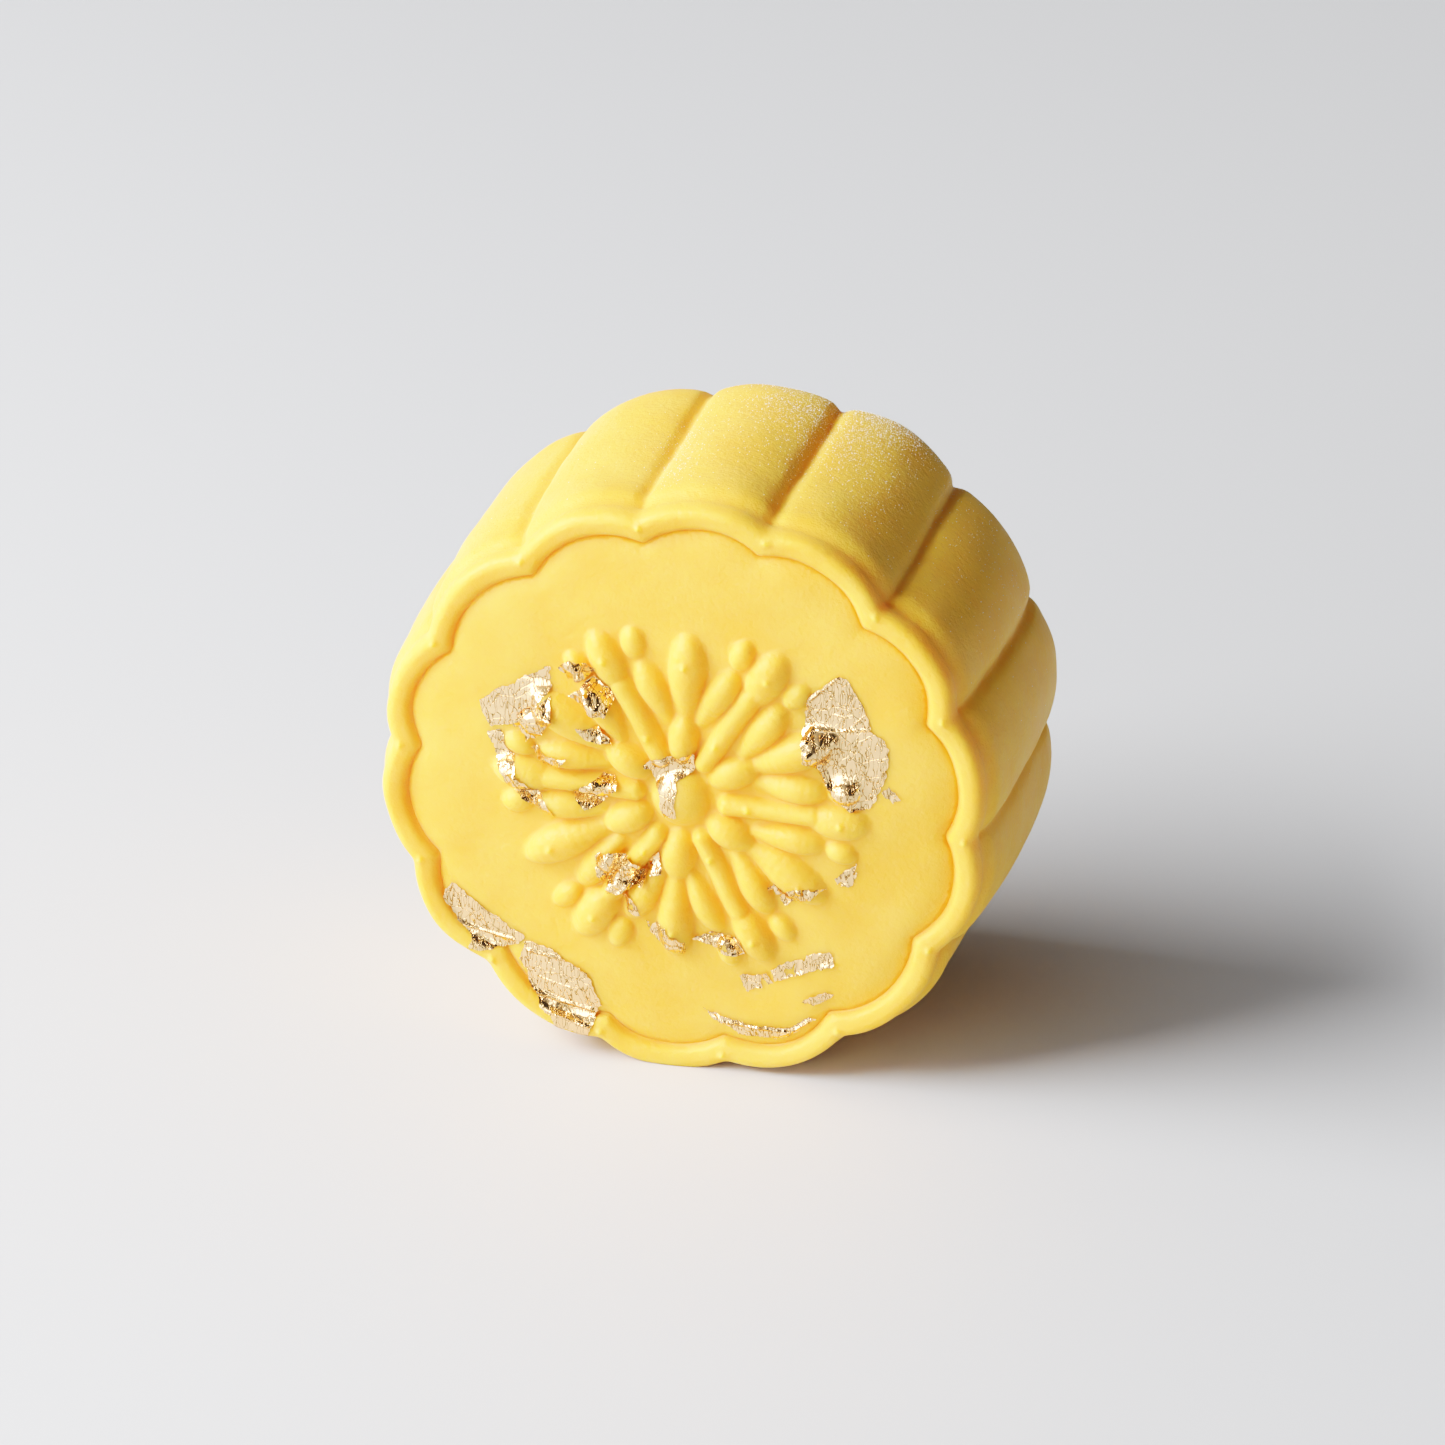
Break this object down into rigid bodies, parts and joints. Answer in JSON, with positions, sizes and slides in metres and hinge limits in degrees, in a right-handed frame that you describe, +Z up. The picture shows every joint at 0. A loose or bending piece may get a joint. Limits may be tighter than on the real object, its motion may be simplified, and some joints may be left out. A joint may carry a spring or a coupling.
{
  "type": "mooncake",
  "caption": "Small snow-skin mooncake with scalloped sides, standing on its edge, its face moulded with a rosette and dressed with torn gold leaf.",
  "frame": {"origin": "middle of the bottom of the bounding box, on the surface the mooncake stands on", "axes": "+Z up; the cake's axis runs along Y and the moulded face looks towards -Y; +X is to the right seen from the front"},
  "size_m": [0.05, 0.0308, 0.0485],
  "materials": {
    "snow_skin": "soft yellow glutinous-rice dough, matte with a faint waxy sheen",
    "gold_leaf": "edible gold leaf, torn and crinkled, mirror bright in its creases",
    "rice_flour": "loose white cooked rice flour"
  },
  "bodies": {
    "root": {"mooncake": "snow_skin"}
  },
  "joints": []
}
